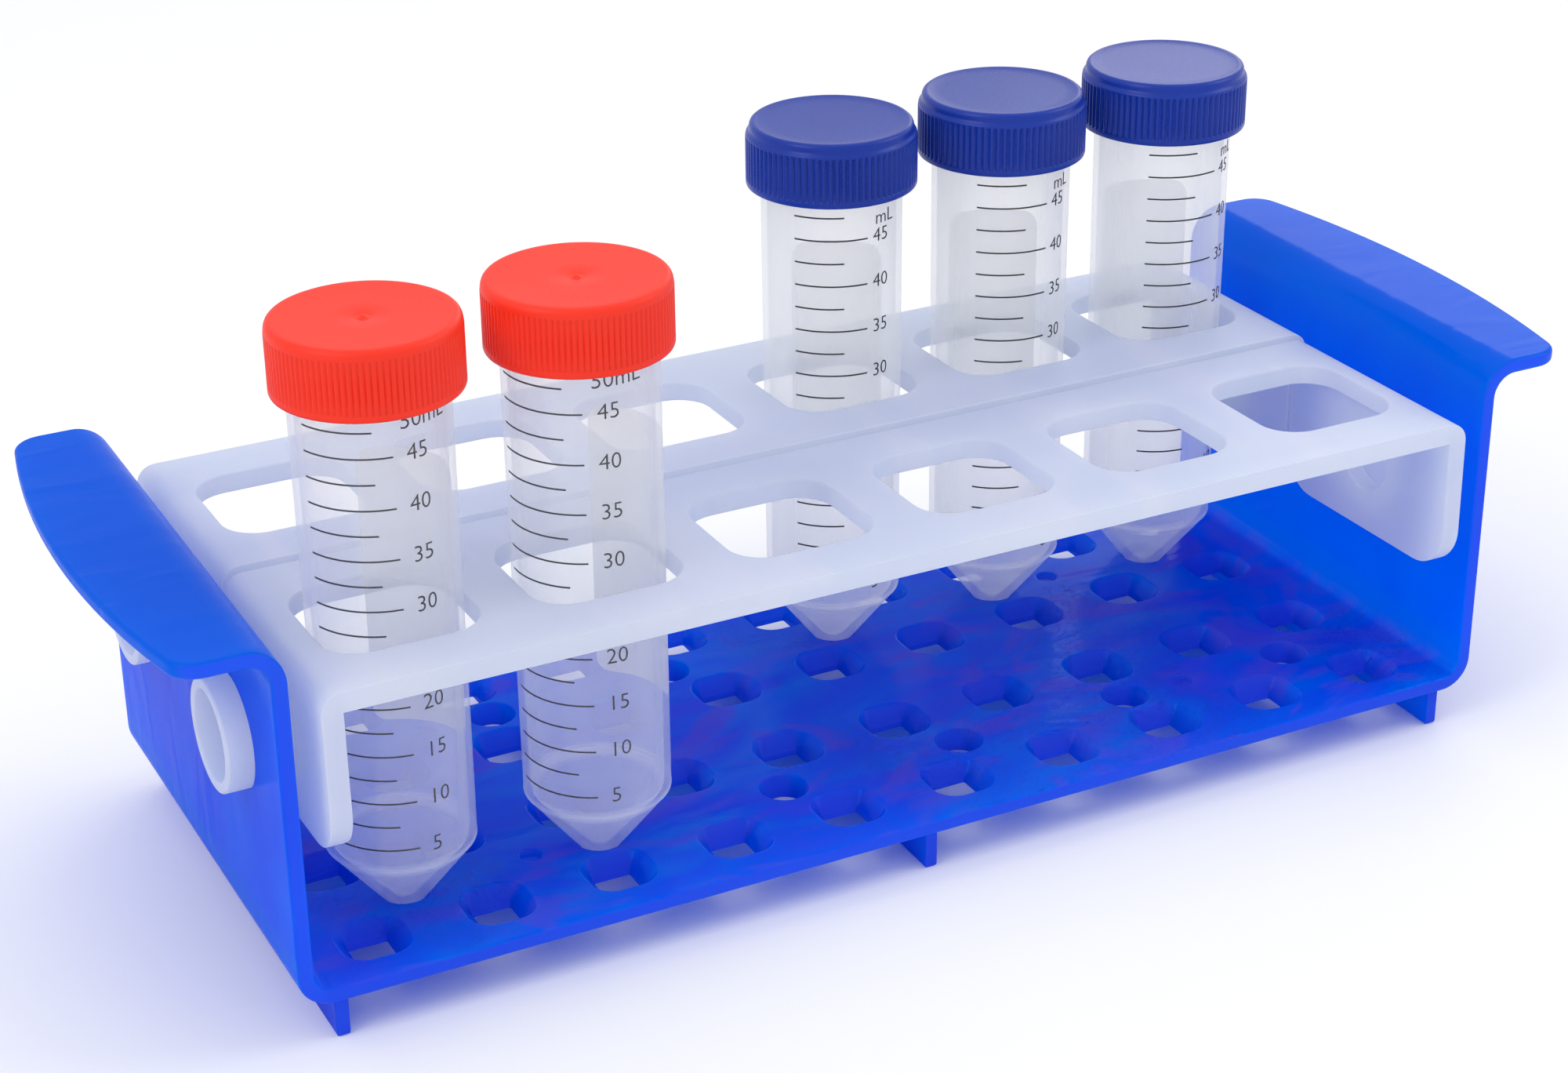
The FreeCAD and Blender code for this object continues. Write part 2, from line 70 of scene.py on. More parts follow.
# Trays: plates with down-turned tabs and hollow trunnions. TUBE_HOLE is a hole's width, and the
# trunnion, its bore and the tab's bore are radii.
TRAY_THICKNESS, TRAY_DEPTH, TRAY_RISE, TRAY_DROP = 4.1, 53.6, 16.9, 16.0
TRAY_LENGTH, TRAY_BEND, TRAY_CORNER = 241.6, 3.9, 9.0
TRAY_TILT = math.radians(1.0)
TRUNNION, TRUNNION_BORE, TAB_BORE = 10.65, 8.5, 7.2
TUBE_HOLE, TUBE_HOLE_CORNER = 29.6, 7.5

# Tubes and caps: radii of barrel, mouth and tip, then heights above the tip.
BARREL, MOUTH, WALL, TIP = 14.0, 14.35, 1.2, 3.25
CONE_HEIGHT, NECK = 13.6, 103.2
TUBE_SEGMENTS = 128
CAP_BORE, CAP_ROOF = 15.5, 1.9
RIBS = {"red": 98, "blue": 80}
THREAD_TURNS, THREAD_PITCH, THREAD_STEPS = 1.75, 3.0, 150

# Edges with a sharper angle than this are shaded sharp.
SHARP, CAP_SHARP = math.radians(38), math.radians(60)


def mm_box(node):
    low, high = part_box(node)
    return low / MM, high / MM


# ---------------------------------------------------------------- profiles and outlines

def soften(points, steps=4):
    """A polyline with rounded corners: points are (x, y) or (x, y, reach of the rounding)."""
    out = []
    for i, p in enumerate(points):
        reach = p[2] if len(p) > 2 else 0
        here = Vector(p[:2])
        if not reach:
            out.append(here)
            continue
        before = here + (Vector(points[i - 1][:2]) - here).normalized() * reach
        after = here + (Vector(points[i + 1][:2]) - here).normalized() * reach
        for k in range(steps + 1):
            t = k / steps
            out.append(before * (1 - t) ** 2 + here * 2 * t * (1 - t) + after * t * t)
    return out


def rounded_rectangle(half_x, half_y, corner, steps):
    """Points of a rectangle with rounded corners about (0, 0), anticlockwise."""
    points = []
    for quarter, (sx, sy) in enumerate(((1, 1), (-1, 1), (-1, -1), (1, -1))):
        for k in range(steps + 1):
            a = (quarter + k / steps) * math.pi / 2
            points.append((sx * (half_x - corner) + corner * math.cos(a),
                           sy * (half_y - corner) + corner * math.sin(a)))
    return points


def box_outline(cx, cy, half_x, half_y, corner, steps, sharpen=1.0, least=0.15):
    """Outline function of a round-cornered box that grows by an offset, its corners with it."""
    def at(offset):
        r = max(corner + offset * sharpen, least)
        points = rounded_rectangle(half_x + offset, half_y + offset, r, steps)
        return [Vector((cx + x, cy + y)) for x, y in points]
    return at


def round_outline(cx, cy, radius, steps=40):
    """Outline function of a circle that grows by an offset."""
    def at(offset):
        r = radius + offset
        turns = [2 * math.pi * k / steps for k in range(steps)]
        return [Vector((cx + r * math.cos(a), cy + r * math.sin(a))) for a in turns]
    return at


class Plate:
    """A flat plate in (s, y) with thickness t, built of loops joined by rings, then bent."""

    def __init__(self):
        self.bm = bmesh.new()
        self.top, self.bottom = [], []

    def ring(self, outline, offset, t):
        return [self.bm.verts.new((p.x, p.y, t)) for p in outline(offset)]

    def skin(self, outline, profile, starts="top", ends="bottom"):
        """Sweep a profile of (offset, t) round an outline; its ends join the plate's faces."""
        rings = [self.ring(outline, p.x, p.y) for p in profile]
        count = len(rings[0])
        for a, b in zip(rings, rings[1:]):
            for k in range(count):
                n = (k + 1) % count
                self.bm.faces.new((a[k], a[n], b[n], b[k]))
        for loop, where in ((rings[0], starts), (rings[-1], ends)):
            if where == "top":
                self.top.append(loop)
            elif where == "bottom":
                self.bottom.append(loop)
            elif where == "cap":
                self.bm.faces.new(loop)

    def close(self):
        """Fill both faces between their loops: the first is the outer edge, the rest are holes."""
        for loops in (self.top, self.bottom):
            verts = [v for loop in loops for v in loop]
            owner = [i for i, loop in enumerate(loops) for _ in loop]
            edges, start = [], 0
            for loop in loops:
                count = len(loop)
                edges += [(start + k, start + (k + 1) % count) for k in range(count)]
                start += count
            flat = [v.co.to_2d() for v in verts]
            _, _, faces, origin, _, _ = delaunay_2d_cdt(flat, edges, [], 0, 1e-7)
            for face in faces:
                corners = [origin[i][0] for i in face]
                owners = {owner[c] for c in corners}
                if len(owners) == 1 and owners != {0}:
                    continue
                self.bm.faces.new([verts[c] for c in corners])

    def cut(self, places):
        """Add edges across the plate so that it can bend there."""
        for s in places:
            geometry = self.bm.verts[:] + self.bm.edges[:] + self.bm.faces[:]
            bmesh.ops.bisect_plane(self.bm, geom=geometry, dist=1e-5,
                                   plane_co=(s, 0, 0), plane_no=(1, 0, 0))

    def bend(self, place):
        """Move every point of the flat plate to place(s, y, t)."""
        for v in self.bm.verts:
            v.co = place(*v.co)


def finish_mesh(bm, name, sharp=SHARP, weighted=True):
    """Write a bmesh in millimetres as an object in metres with smooth shading."""
    bmesh.ops.recalc_face_normals(bm, faces=bm.faces[:])
    mesh = bpy.data.meshes.new(name)
    bm.to_mesh(mesh)
    bm.free()
    mesh.transform(Matrix.Scale(MM, 4))
    mesh.polygons.foreach_set("use_smooth", [True] * len(mesh.polygons))
    mesh.set_sharp_from_angle(angle=sharp)
    obj = bpy.data.objects.new(name, mesh)
    bpy.context.scene.collection.objects.link(obj)
    if weighted:
        smooth = obj.modifiers.new("normals", "WEIGHTED_NORMAL")
        smooth.keep_sharp = True
    return obj


# ---------------------------------------------------------------- node helpers

class Nodes:
    """Small helper for writing a material's node tree."""

    def __init__(self, name):
        self.material = bpy.data.materials.new(name)
        self.material.use_nodes = True
        self.tree = self.material.node_tree
        self.tree.nodes.clear()
        self.out = self.tree.nodes.new("ShaderNodeOutputMaterial")

    def new(self, kind, **values):
        """A new node. A value is a number, a colour or another node's output; a double underscore
        stands for a space in a socket's name, and a leading one marks the node's own property."""
        node = self.tree.nodes.new("ShaderNode" + kind)
        for key, value in values.items():
            if key.startswith("_"):
                setattr(node, key[1:], value)
            else:
                socket = node.inputs[key.replace("__", " ")]
                if isinstance(value, bpy.types.NodeSocket):
                    self.tree.links.new(value, socket)
                else:
                    socket.default_value = value
        return node

    def link(self, a, b):
        self.tree.links.new(a, b)

    def noise(self, vector, scale, detail=4.0, roughness=0.5, distortion=0.0):
        node = self.new("TexNoise", Vector=vector, Scale=scale, Detail=detail,
                        Roughness=roughness, Distortion=distortion)
        return node.outputs["Fac"]

    def stretch(self, vector, scale, turn=0.0):
        """Coordinates scaled by axis and turned about Z."""
        node = self.new("Mapping", Vector=vector, Scale=scale, Rotation=(0, 0, turn))
        return node.outputs["Vector"]

    def between(self, value, low, high):
        """0 where the value is at low, rising to 1 at high."""
        return self.new("MapRange", Value=value, From__Min=low, From__Max=high).outputs["Result"]

    def ramp(self, factor, stops):
        """A linear ramp; a stop's colour may be one number for a grey."""
        node = self.new("ValToRGB", Fac=factor)
        elements = node.color_ramp.elements
        while len(elements) < len(stops):
            elements.new(0.5)
        for element, (place, colour) in zip(elements, stops):
            element.position = place
            element.color = (*colour, 1) if isinstance(colour, tuple) else (colour,) * 3 + (1,)
        return node.outputs["Color"]

    def mix(self, factor, a, b):
        node = self.new("Mix", _data_type="RGBA")
        for socket, value in ((node.inputs[0], factor), (node.inputs[6], a), (node.inputs[7], b)):
            if isinstance(value, bpy.types.NodeSocket):
                self.link(value, socket)
            else:
                socket.default_value = (*value, 1) if isinstance(value, tuple) else value
        return node.outputs[2]

    def maths(self, operation, a, b=0.0, clamp=False):
        node = self.new("Math", _operation=operation, _use_clamp=clamp)
        for socket, value in ((node.inputs[0], a), (node.inputs[1], b)):
            if isinstance(value, bpy.types.NodeSocket):
                self.link(value, socket)
            else:
                socket.default_value = value
        return node.outputs[0]

    def scaled(self, value, factor, base):
        """value * factor + base"""
        result = self.maths("MULTIPLY_ADD", value, factor)
        result.node.inputs[2].default_value = base
        return result

    def bump(self, height, strength, distance, invert=False, **under):
        """The normal of a bump, over the one given as Normal if there is one."""
        node = self.new("Bump", Height=height, Strength=strength, Distance=distance,
                        _invert=invert, **under)
        return node.outputs["Normal"]

    def blend(self, share, first, second):
        """Mix two shaders: share is the second one's part."""
        node = self.new("MixShader", Fac=share)
        self.link(first.outputs[0], node.inputs[1])
        self.link(second.outputs[0], node.inputs[2])
        return node

    def finish(self, shader):
        self.link(shader.outputs[0], self.out.inputs["Surface"])
        return self.material

    @property
    def place(self):
        return self.new("TexCoord").outputs["Object"]


def layered(n, skin, light_colour, share):
    """A skin with some light passing through the sheet from behind."""
    through = n.new("BsdfTranslucent", Color=(*light_colour, 1))
    return n.finish(n.blend(share, skin, through))


def blue_plastic():
    """Translucent blue with a streaked, wrinkled floor; painted light brightens the floor and
    bends, painted shade darkens walls, handles, underside, crease and edges.
    """
    n = Nodes("frame_blue")
    coords = n.new("TexCoord")
    at = coords.outputs["Object"]
    z = n.new("SeparateXYZ", Vector=at).outputs["Z"]
    normal_y = n.new("SeparateXYZ", Vector=coords.outputs["Normal"]).outputs["Y"]
    floor_top = FLOOR_TOP * MM

    # where on the moulding, and where painted shade and painted light go
    above = n.between(z, floor_top - 0.0005, floor_top + 0.0095)
    on_wall = n.ramp(above, [(0.10, 0.0), (0.45, 1.0)])
    on_floor = n.maths("SUBTRACT", 1.0, on_wall)
    # painted shade on the faces that face front and back, such as the sheet's edges
    painted_edge_shade = n.ramp(n.maths("ABSOLUTE", normal_y), [(0.55, 0.0), (0.85, 1.0)])
    # painted light on the bends that rise from the floor
    painted_bend_light = n.ramp(above, [(0.12, 0.0), (0.30, 0.75), (0.62, 0.75), (0.98, 0.0)])
    # painted shade in the crease where the floor meets its bends
    painted_crease_shade = n.ramp(above, [(0.04, 0.0), (0.08, 0.6), (0.15, 0.0)])
    # painted shade on the handles, from 60 mm up
    painted_handle_shade = n.ramp(n.between(z, 0.060, 0.085), [(0.2, 0.0), (0.7, 0.8)])
    # painted shade under the floor and down the wells, darker with depth
    painted_underside_shade = n.ramp(n.between(z, floor_top - 0.0030, floor_top - 0.0006),
                          [(0.1, 0.75), (1.0, 0.0)])

    # patterns: slow flow of the melt, violet swirls, fine wrinkles in patches, waves and grain
    flow = n.noise(n.stretch(at, (16, 34, 16), 0.5), 1.0, detail=3.0, distortion=1.8)
    swirl = n.noise(n.stretch(at, (20, 42, 20), -0.35), 1.0, detail=4.0, distortion=2.4)
    wrinkle = n.noise(n.stretch(at, (190, 420, 190), 0.3), 1.0, detail=4.0, distortion=3.2)
    where = n.noise(n.stretch(at, (22, 22, 22)), 1.0, detail=1.0)
    waves = n.noise(n.stretch(at, (40, 95, 40)), 1.0, detail=2.0, distortion=0.8)
    grain = n.noise(at, 2600.0, detail=2.0)
    marks = n.maths("MULTIPLY", n.ramp(swirl, [(0.50, 0.0), (0.62, 0.7)]), on_floor)
    lines = n.ramp(wrinkle, [(0.475, 0.0), (0.495, 1.0), (0.505, 1.0), (0.525, 0.0)])
    lines = n.maths("MULTIPLY", lines, n.ramp(where, [(0.52, 0.0), (0.62, 0.8)]))
    lines = n.maths("MULTIPLY", lines, on_floor)

    # painted light and shade: the floor takes a lighter copy of the blue, the walls a darker one
    lit_floor_colour = n.ramp(flow, [(0.34, (0.000, 0.230, 1.00)), (0.46, (0.000, 0.170, 1.00)),
                                 (0.56, (0.004, 0.110, 0.98)), (0.68, (0.050, 0.080, 0.92))])
    shaded_wall_colour = n.ramp(flow, [(0.34, (0.000, 0.150, 0.93)), (0.50, (0.000, 0.115, 0.91)),
                                (0.66, (0.001, 0.085, 0.87))])
    colour = n.mix(on_wall, lit_floor_colour, shaded_wall_colour)
    # swirl marks and wrinkle lines are the plastic's own; the bend tint is painted light, and the
    # handle, underside, crease and edge tints are painted shade
    for share, tint in ((marks, (0.16, 0.09, 0.70)), (lines, (0.002, 0.020, 0.42)),
                        (painted_bend_light, (0.000, 0.190, 0.80)), (painted_handle_shade, (0.000, 0.125, 0.56)),
                        (painted_underside_shade, (0.000, 0.035, 0.62)), (painted_crease_shade, (0.000, 0.012, 0.60)),
                        (painted_edge_shade, (0.045, 0.085, 0.90))):
        colour = n.mix(share, colour, tint)

    soft = n.bump(waves, 0.4, 0.0008)
    creased = n.bump(lines, 0.5, 0.0003, invert=True, Normal=soft)
    fine = n.bump(grain, 0.05, 0.0001, Normal=creased)
    skin = n.new("BsdfPrincipled", Base__Color=colour, IOR=1.49, Specular__IOR__Level=0.15,
                 Roughness=n.scaled(swirl, 0.14, 0.08), Normal=fine)
    return layered(n, skin, (0.000, 0.40, 1.0), 0.60)


def milky_plastic():
    """Natural polypropylene: cloudy, with pale streaks and lengthwise scuffs in its gloss."""
    n = Nodes("tray_natural")
    at = n.place
    cloud = n.noise(n.stretch(at, (14, 30, 14)), 1.0, detail=3.0, distortion=1.0)
    scuff = n.noise(n.stretch(at, (60, 260, 60), 0.5), 1.0, detail=4.0, distortion=1.0)
    streak = n.noise(n.stretch(at, (40, 9, 40), 0.2), 1.0, detail=3.0, distortion=1.4)
    grain = n.noise(at, 2200.0, detail=2.0)
    colour = n.ramp(cloud, [(0.30, (0.68, 0.73, 0.85)), (0.55, (0.74, 0.78, 0.87)),
                            (0.75, (0.80, 0.82, 0.88))])
    pale = n.ramp(streak, [(0.54, 0.0), (0.66, 0.45)])
    colour = n.mix(pale, colour, (0.86, 0.85, 0.90))
    fine = n.bump(grain, 0.08, 0.0001, Normal=n.bump(cloud, 0.2, 0.0005))
    skin = n.new("BsdfPrincipled", Base__Color=colour, IOR=1.49,
                 Roughness=n.scaled(scuff, 0.22, 0.26), Normal=fine)
    return layered(n, skin, (0.90, 0.94, 0.99), 0.55)


def tube_plastic(name, clear, edge, tint, rough_low):
    """Thin polypropylene: mostly seen through, denser edge on, in the cone and at its shoulder."""
    n = Nodes(name)
    at = n.place
    tip = (FLOOR_TOP - TIP_DROP) * MM
    z = n.new("SeparateXYZ", Vector=at).outputs["Z"]
    shoulder = n.ramp(n.between(z, tip, tip + 0.020),
                      [(0.0, 0.05), (0.62, 0.03), (0.68, 0.32), (0.72, 0.28), (0.76, 0.0)])
    haze = n.noise(n.stretch(at, (70, 70, 12)), 1.0, detail=3.0, distortion=0.6)
    normal = n.bump(n.noise(at, 1800.0, detail=2.0), 0.03, 0.0001)
    facing = n.new("LayerWeight", Blend=0.35).outputs["Facing"]
    skin = n.new("BsdfPrincipled", Base__Color=(*tint, 1), IOR=1.49,
                 Roughness=n.scaled(haze, 0.12, rough_low), Normal=normal)
    milk = n.blend(0.5, skin, n.new("BsdfTranslucent", Color=(*tint, 1)))
    density = n.maths("ADD", n.scaled(facing, edge, clear), shoulder)
    solid = n.maths("ADD", density, n.maths("MULTIPLY", haze, 0.08), clamp=True)
    body = n.blend(solid, n.new("BsdfTransparent"), milk)
    gloss = n.new("BsdfGlossy", Roughness=0.12, Normal=normal)
    rim = n.scaled(n.maths("POWER", facing, 4.0), 0.25, 0.02)
    return n.finish(n.blend(rim, body, gloss))


def cap_plastic(name, colour, dark, rough, grain_scale, grain_strength):
    """Opaque moulded plastic with a fine grain."""
    n = Nodes(name)
    grain = n.noise(n.place, grain_scale, detail=3.0, roughness=0.6)
    tone = n.noise(n.stretch(n.place, (40, 40, 40)), 1.0, detail=2.0)
    skin = n.new("BsdfPrincipled", Base__Color=n.ramp(tone, [(0.3, dark), (0.7, colour)]),
                 IOR=1.48, Specular__IOR__Level=0.25, Roughness=n.scaled(grain, 0.15, rough),
                 Normal=n.bump(grain, grain_strength, 0.0002))
    return n.finish(skin)


def ink(name, shade):
    """Printing ink, a little worn, with a slight blue cast."""
    n = Nodes(name)
    wear = n.noise(n.place, 900.0, detail=3.0)
    colour = n.ramp(wear, [(0.3, (shade, shade, shade * 1.1)),
                           (0.75, (shade * 2, shade * 2, shade * 2.2))])
    return n.finish(n.new("BsdfPrincipled", Base__Color=colour, Roughness=0.5))


def patch_paint():
    """Thin matt white coat that still lets some light through."""
    n = Nodes("write_on_patch")
    grain = n.noise(n.place, 1500.0, detail=3.0)
    colour = n.ramp(grain, [(0.3, (0.92, 0.93, 0.93)), (0.7, (0.97, 0.97, 0.97))])
    skin = n.new("BsdfPrincipled", Base__Color=colour, Roughness=0.65,
                 Normal=n.bump(grain, 0.1, 0.0001))
    coat = n.blend(0.6, skin, n.new("BsdfTranslucent", Color=(0.97, 0.98, 0.97, 1)))
    return n.finish(n.blend(0.45, n.new("BsdfTransparent"), coat))


# ---------------------------------------------------------------- frame

def frame_piece():
    """The bent sheet, built flat along s from the middle of its floor to the edge of a handle."""
    reach, half_depth, handle_top = mm_box("frame")[1]
    inner = FRAME_LENGTH / 2 - SHEET
    mid = SHEET / 2
    mid_floor = FLOOR_TOP - mid
    r_floor, r_handle = BEND_INNER + mid, HANDLE_BEND + mid
    wall_x = inner + mid
    s1 = inner - BEND_INNER
    s2 = s1 + r_floor * math.pi / 2
    wall_low, wall_high = FLOOR_TOP + BEND_INNER, handle_top - SHEET - HANDLE_BEND
    s3 = s2 + wall_high - wall_low
    s4 = s3 + r_handle * math.pi / 2
    flange_x = wall_x + r_handle

    def place(s, y, t):
        side, a = (1 if s >= 0 else -1), abs(s)
        if a <= s1:
            x, z = a, mid_floor + t
        elif a <= s2:
            th = (a - s1) / r_floor
            x, z = s1 + (r_floor - t) * math.sin(th), wall_low - (r_floor - t) * math.cos(th)
        elif a <= s3:
            x, z = wall_x - t, wall_low + a - s2
        elif a <= s4:
            th = (a - s3) / r_handle
            x = flange_x - (r_handle + t) * math.cos(th)
            z = wall_high + (r_handle + t) * math.sin(th)
        else:
            x, z = flange_x + a - s4, handle_top - mid + t
        return Vector((side * x, y, z))

    # outer edge of the flat sheet as (s, y, angle of the normal): corner and bow of a quarter,
    # then the rest by symmetry
    bow = (half_depth ** 2 + HANDLE_BOW ** 2) / (2 * HANDLE_BOW)
    centre = reach - bow
    turn_x = centre + math.sqrt((bow - HANDLE_CORNER) ** 2 - (half_depth - HANDLE_CORNER) ** 2)
    lean = math.asin((half_depth - HANDLE_CORNER) / (bow - HANDLE_CORNER))
    to_s = s4 - flange_x
    quarter = []
    for k in range(9):
        a = math.pi / 2 - k / 8 * (math.pi / 2 - lean)
        quarter.append((turn_x + HANDLE_CORNER * math.cos(a) + to_s,
                        half_depth - HANDLE_CORNER + HANDLE_CORNER * math.sin(a), a))
    for k in range(1, 13):
        a = lean * (1 - k / 12)
        quarter.append((centre + bow * math.cos(a) + to_s, bow * math.sin(a), a))
    half = quarter + [(s, -y, -a) for s, y, a in reversed(quarter[:-1])]
    edge = half + [(-s, y, math.pi - a) for s, y, a in reversed(half)]
    edge.reverse()

    def rim(offset):
        return [Vector((s + offset * math.cos(a), y + offset * math.sin(a))) for s, y, a in edge]

    plate = Plate()
    arc = []
    for k in range(7):
        a = k / 6 * math.pi / 2
        arc.append((-RIM * (1 - math.sin(a)), mid - RIM * (1 - math.cos(a))))
    rim_profile = [Vector(p) for p in arc + [(x, -y) for x, y in reversed(arc)]]
    plate.skin(rim, rim_profile)

    # profiles through the sheet as (offset, height, reach of the rounding), from its top down
    land = -mid - SEAT_LAND
    square_well = soften([(0.06, mid), (-0.35, mid, 0.4), (-3.05, -1.75, 0.3), (-3.15, land, 0.1),
                          (-1.45, land, 0.35), (-0.9, -mid, 0.2), (-0.6, -mid)])
    round_well = soften([(0.05, mid), (-0.3, mid, 0.34), (-1.64, land, 0.15),
                         (-0.44, land, 0.35), (0.11, -mid, 0.2), (0.4, -mid)])
    dimple = soften([(0.5, mid), (0, mid, 0.3), (-0.2, mid - DIMPLE_DEPTH, 0.25),
                     (-1.2, mid - DIMPLE_DEPTH)])
    trunnion_hole = soften([(0.5, mid), (0, mid, 0.3), (0, -mid, 0.3), (0.5, -mid)])
    foot = soften([(0.5, -mid), (0, -mid, 0.4), (0, -mid_floor, 0.75), (-1.2, -mid_floor)])

    for row in SMALL_ROWS:
        for column in range(SMALL_COLUMNS):
            s = (column - (SMALL_COLUMNS - 1) / 2) * SMALL_PITCH
            seat = box_outline(s, row, SMALL_SEAT_HALF, SMALL_SEAT_HALF, SMALL_SEAT_CORNER, 7,
                               SMALL_SEAT_SHARPEN)
            plate.skin(seat, square_well)
    for row in (-LARGE_ROW, LARGE_ROW):
        for column in range(LARGE_COLUMNS):
            s = (column - (LARGE_COLUMNS - 1) / 2) * LARGE_PITCH
            plate.skin(round_outline(s, row, ROUND_SEAT_RADIUS), round_well)
        for side in (-1, 1):
            plate.skin(round_outline(side * DIMPLE_AT, row, DIMPLE_RADIUS, 24), dimple, ends="cap")
        for side in (-1, 1):
            s = side * (s2 + AXIS_HEIGHT - wall_low)
            plate.skin(round_outline(s, row, TRUNNION + TRUNNION_CLEARANCE, 64), trunnion_hole)
    for x in (-FOOT_SPACING, 0, FOOT_SPACING):
        footprint = box_outline(x, 0, FOOT_THICKNESS / 2, half_depth - RIM - FOOT_INSET,
                                FOOT_CORNER, 3, least=0.05)
        plate.skin(footprint, foot, starts="bottom", ends="cap")
    plate.close()
    places = [s1 + (s2 - s1) * k / 12 for k in range(13)]
    places += [s3 + (s4 - s3) * k / 14 for k in range(15)]
    plate.cut([side * s for s in places for side in (-1, 1)])
    plate.bend(place)
    return finish_mesh(plate.bm, "frame_moulding")


# ---------------------------------------------------------------- trays

def tray_piece(name, row, tilt):
    """One tray half, built flat along s from its middle to the end of a tab."""
    plate = Plate()
    mid = TRAY_THICKNESS / 2
    r = TRAY_BEND - mid
    s1 = TRAY_LENGTH / 2 - TRAY_BEND
    s2 = s1 + r * math.pi / 2
    bend_z = TRAY_RISE - TRAY_BEND
    s_end = s2 + bend_z + TRAY_DROP

    def place(s, y, t):
        side, a = (1 if s >= 0 else -1), abs(s)
        if a <= s1:
            x, z = a, TRAY_RISE - mid + t
        elif a <= s2:
            th = (a - s1) / r
            x, z = s1 + (r + t) * math.sin(th), bend_z + (r + t) * math.cos(th)
        else:
            x, z = s1 + r + t, bend_z - (a - s2)
        point = Matrix.Rotation(tilt, 3, "X") @ Vector((side * x, y, z))
        return point + Vector((0, row, AXIS_HEIGHT))

    rim = soften([(-0.9, mid), (0, mid, 0.3), (0, -mid, 0.3), (-0.9, -mid)])
    plate.skin(box_outline(0, 0, s_end, TRAY_DEPTH / 2, TRAY_CORNER, 12), rim)
    hole = soften([(0.9, mid), (0, mid, 0.55), (0, -mid, 0.4), (0.9, -mid)])
    for column in range(LARGE_COLUMNS):
        s = (column - (LARGE_COLUMNS - 1) / 2) * LARGE_PITCH
        plate.skin(box_outline(s, 0, TUBE_HOLE / 2, TUBE_HOLE / 2, TUBE_HOLE_CORNER, 10), hole)
    ring_end = mid + mm_box(name)[1].x - TRAY_LENGTH / 2
    inside = TRUNNION_BORE - TRUNNION
    bore = TAB_BORE - TRUNNION
    ring = soften([(0.8, mid), (0, mid, 0.5), (0, ring_end, 0.55), (inside, ring_end, 0.45),
                   (inside, mid, 0.5), (bore, mid, 0.4), (bore, -mid, 0.4), (bore + 0.8, -mid)])
    for side in (-1, 1):
        plate.skin(round_outline(side * (s2 + bend_z), 0, TRUNNION, 64), ring)
    plate.close()
    places = [s1 + (s2 - s1) * k / 8 for k in range(9)]
    plate.cut([side * s for s in places for side in (-1, 1)])
    plate.bend(place)
    return finish_mesh(plate.bm, name + "_moulding")


# ---------------------------------------------------------------- tubes and caps

def lathe(profile, segments, wave=(0.0,)):
    """Turn a closed profile of (radius, height, swell) about Z. A point on the axis is a pole, and
    a swell, where a point has one, follows the wave round the circle."""
    bm = bmesh.new()
    rings = []
    for radius, height, *swell in profile:
        if radius < 1e-6:
            rings.append([bm.verts.new((0, 0, height))])
            continue
        ring = []
        for k in range(segments):
            a = 2 * math.pi * k / segments
            r = radius + sum(swell) * wave[k % len(wave)]
            ring.append(bm.verts.new((r * math.cos(a), r * math.sin(a), height)))
        rings.append(ring)
    for a, b in zip(rings, rings[1:] + rings[:1]):
        if len(a) == 1 and len(b) == 1:
            continue
        for k in range(segments):
            n = (k + 1) % segments
            if len(a) == 1:
                bm.faces.new((a[0], b[k], b[n]))
            elif len(b) == 1:
                bm.faces.new((a[k], a[n], b[0]))
            else:
                bm.faces.new((a[k], a[n], b[n], b[k]))
    return bm


def surface_radius(height):
    """Outer radius of a tube's barrel at a height above its tip."""
    share = min(max((height - CONE_HEIGHT) / (NECK - CONE_HEIGHT), 0), 1)
    return BARREL + (MOUTH - BARREL) * share


def tube_piece(name, centre, tip_z, length):
    """A tube's wall: foot, cone, shoulder ring and barrel, then the cavity back down."""
    profile = soften([
        (0, 0.45), (1.1, 0.45, 0.2), (1.5, 0), (TIP, 0, 0.7),
        (BARREL - 0.35, CONE_HEIGHT - 0.1, 0.4), (BARREL + 0.12, CONE_HEIGHT + 0.4, 0.25),
        (BARREL + 0.02, CONE_HEIGHT + 1.0, 0.3), (MOUTH, NECK), (MOUTH, length, 0.3),
        (MOUTH - WALL, length, 0.3), (MOUTH - WALL, NECK),
        (BARREL - WALL, CONE_HEIGHT + 0.6, 1.2), (TIP - WALL, 1.6, 0.8), (0, 1.6)], 5)
    bm = lathe(profile, TUBE_SEGMENTS)
    thread(bm)
    bmesh.ops.translate(bm, verts=bm.verts[:], vec=(*centre, tip_z))
    return finish_mesh(bm, name + "_wall", weighted=False)


def thread(bm):
    """A single screw ridge below the mouth, which swells from nothing at both ends."""
    start = NECK + 2.2
    sunk, run_out = 0.12, 0.08
    section = [(-sunk, -0.95), (0.62, -0.3), (0.62, 0.3), (-sunk, 0.95)]
    rings = []
    for k in range(THREAD_STEPS + 1):
        t = k / THREAD_STEPS
        a = 2 * math.pi * THREAD_TURNS * t
        swell = min(1.0, t / run_out, (1 - t) / run_out)
        ring = []
        for dr, dz in section:
            r = MOUTH - sunk + (dr + sunk) * swell
            z = start + THREAD_TURNS * THREAD_PITCH * t + dz * (0.3 + 0.7 * swell)
            ring.append(bm.verts.new((r * math.cos(a), r * math.sin(a), z)))
        rings.append(ring)
    for a, b in zip(rings, rings[1:]):
        for k in range(4):
            n = (k + 1) % 4
            bm.faces.new((a[k], b[k], b[n], a[n]))
    bm.faces.new(rings[0])
    bm.faces.new(rings[-1][::-1])


